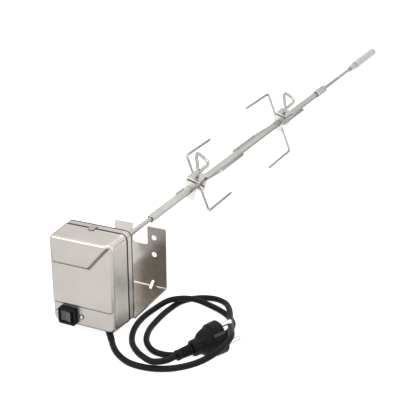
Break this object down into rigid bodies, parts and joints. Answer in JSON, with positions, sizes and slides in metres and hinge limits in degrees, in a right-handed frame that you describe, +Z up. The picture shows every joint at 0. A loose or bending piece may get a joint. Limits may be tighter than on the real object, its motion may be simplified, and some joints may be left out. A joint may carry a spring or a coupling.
{
  "type": "rotisserie spit roaster",
  "caption": "Geared motor box on a folded hanging bracket, turning a plug-in spit with sliding clamp-on tine forks, a screw-on handle and a mains lead with plug.",
  "frame": {"origin": "on the outer face of the bracket's far plate, on the centre plane of its notch, 26 mm above the bracket's underside", "axes": "+X right seen from the motor's front, +Y along the spit away from the motor, +Z up"},
  "size_m": [0.1998, 1.1061, 0.1236],
  "materials": {
    "cover_steel": "satin, brushed upright",
    "dark_rubber": "matte black",
    "sheet_steel": "satin rolled sheet",
    "plated_steel": "bright zinc",
    "can_steel": "satin",
    "brass": "satin",
    "gear_plastic": "matte",
    "black_plastic": "fine texture",
    "grey_plastic": "satin",
    "live_sleeve": "satin",
    "neutral_sleeve": "satin",
    "earth_sleeve": "satin",
    "pin_plating": "polished nickel",
    "spit_steel": "bright plated",
    "ferrule_steel": "satin",
    "handle_grey": "satin light grey",
    "clamp_steel": "bright satin",
    "tine_steel": "bright plated"
  },
  "bodies": {
    "housing": {"front_cover": "cover_steel", "back_casing": "cover_steel", "cover_gasket": "dark_rubber", "cord_gland": "dark_rubber", "mains_cord": "dark_rubber", "bracket": "sheet_steel", "cover_clip_top": "sheet_steel", "cover_clip_bottom": "sheet_steel", "gear_plate_front": "sheet_steel", "gear_plate_back": "sheet_steel", "bracket_bolt_1": "plated_steel", "bracket_bolt_2": "plated_steel", "bracket_bolt_3": "plated_steel", "bracket_bolt_4": "plated_steel", "switch_screw_left": "plated_steel", "switch_screw_right": "plated_steel", "idler_axle": "plated_steel", "motor_can": "can_steel", "output_bush": "brass", "standoff_1": "brass", "standoff_2": "brass", "standoff_3": "brass", "switch_bezel": "black_plastic", "plug_body": "black_plastic", "plug_strain_relief": "black_plastic", "live_lead": "live_sleeve", "neutral_lead": "neutral_sleeve", "earth_lead": "earth_sleeve", "plug_pin_upper": "pin_plating", "plug_pin_lower": "pin_plating", "earth_clip_upper": "pin_plating", "earth_clip_lower": "pin_plating"},
    "rocker": {"rocker_switch": "grey_plastic"},
    "drive": {"drive_socket": "plated_steel", "output_gear": "gear_plastic"},
    "idler": {"compound_gear": "gear_plastic"},
    "pinion": {"motor_pinion": "brass"},
    "spit": {"spit_rod": "spit_steel", "spit_tube": "spit_steel", "end_ring": "black_plastic", "coupling_sleeve": "spit_steel"},
    "handle": {"handle_ferrule": "ferrule_steel", "handle_grip": "handle_grey"},
    "fork_1": {"fork_1_clamp_cheeks": "clamp_steel", "fork_1_top_plate": "clamp_steel", "fork_1_upper_tines": "tine_steel", "fork_1_lower_tines": "tine_steel"},
    "fork_1_screw": {"fork_1_thumbscrew": "tine_steel"},
    "fork_2": {"fork_2_clamp_cheeks": "clamp_steel", "fork_2_top_plate": "clamp_steel", "fork_2_upper_tines": "tine_steel", "fork_2_lower_tines": "tine_steel"},
    "fork_2_screw": {"fork_2_thumbscrew": "tine_steel"}
  },
  "joints": [
    {"name": "drive_turn", "type": "hinge", "parent": "housing", "child": "drive", "pos_m": [0, -0.08, 0.0455], "axis": [0, 1, 0], "continuous": true},
    {"name": "idler_turn", "type": "hinge", "parent": "housing", "child": "idler", "pos_m": [0.012, -0.085, 0.0247], "axis": [0, 1, 0], "continuous": true},
    {"name": "pinion_turn", "type": "hinge", "parent": "housing", "child": "pinion", "pos_m": [0.004, -0.088, 0.0055], "axis": [0, 1, 0], "continuous": true},
    {"name": "spit_pull", "type": "slide", "parent": "drive", "child": "spit", "axis": [0, 1, 0], "range_m": [0, 0.025]},
    {"name": "handle_unscrew", "type": "hinge", "parent": "spit", "child": "handle", "pos_m": [0, 0.81, 0.0455], "axis": [0, 1, 0], "continuous": true},
    {"name": "fork_1_slide", "type": "slide", "parent": "spit", "child": "fork_1", "axis": [0, 1, 0], "range_m": [-0.1, 0.1]},
    {"name": "fork_1_screw_turn", "type": "hinge", "parent": "fork_1", "child": "fork_1_screw", "pos_m": [0, 0.14, 0.0455], "axis": [0.2756, 0, 0.9613], "continuous": true},
    {"name": "fork_2_slide", "type": "slide", "parent": "spit", "child": "fork_2", "axis": [0, 1, 0], "range_m": [-0.1, 0.135]},
    {"name": "fork_2_screw_turn", "type": "hinge", "parent": "fork_2", "child": "fork_2_screw", "pos_m": [0, 0.445, 0.0455], "axis": [0.2756, 0, 0.9613], "continuous": true},
    {"name": "rocker_rock", "type": "hinge", "parent": "housing", "child": "rocker", "pos_m": [-0.0234, -0.1125, -0.014], "axis": [0, 0, 1], "range_deg": [0, 16]}
  ],
  "couplings": [
    {"joint": "idler_turn", "follows": "drive_turn", "ratio": -4},
    {"joint": "pinion_turn", "follows": "drive_turn", "ratio": 13.333}
  ]
}
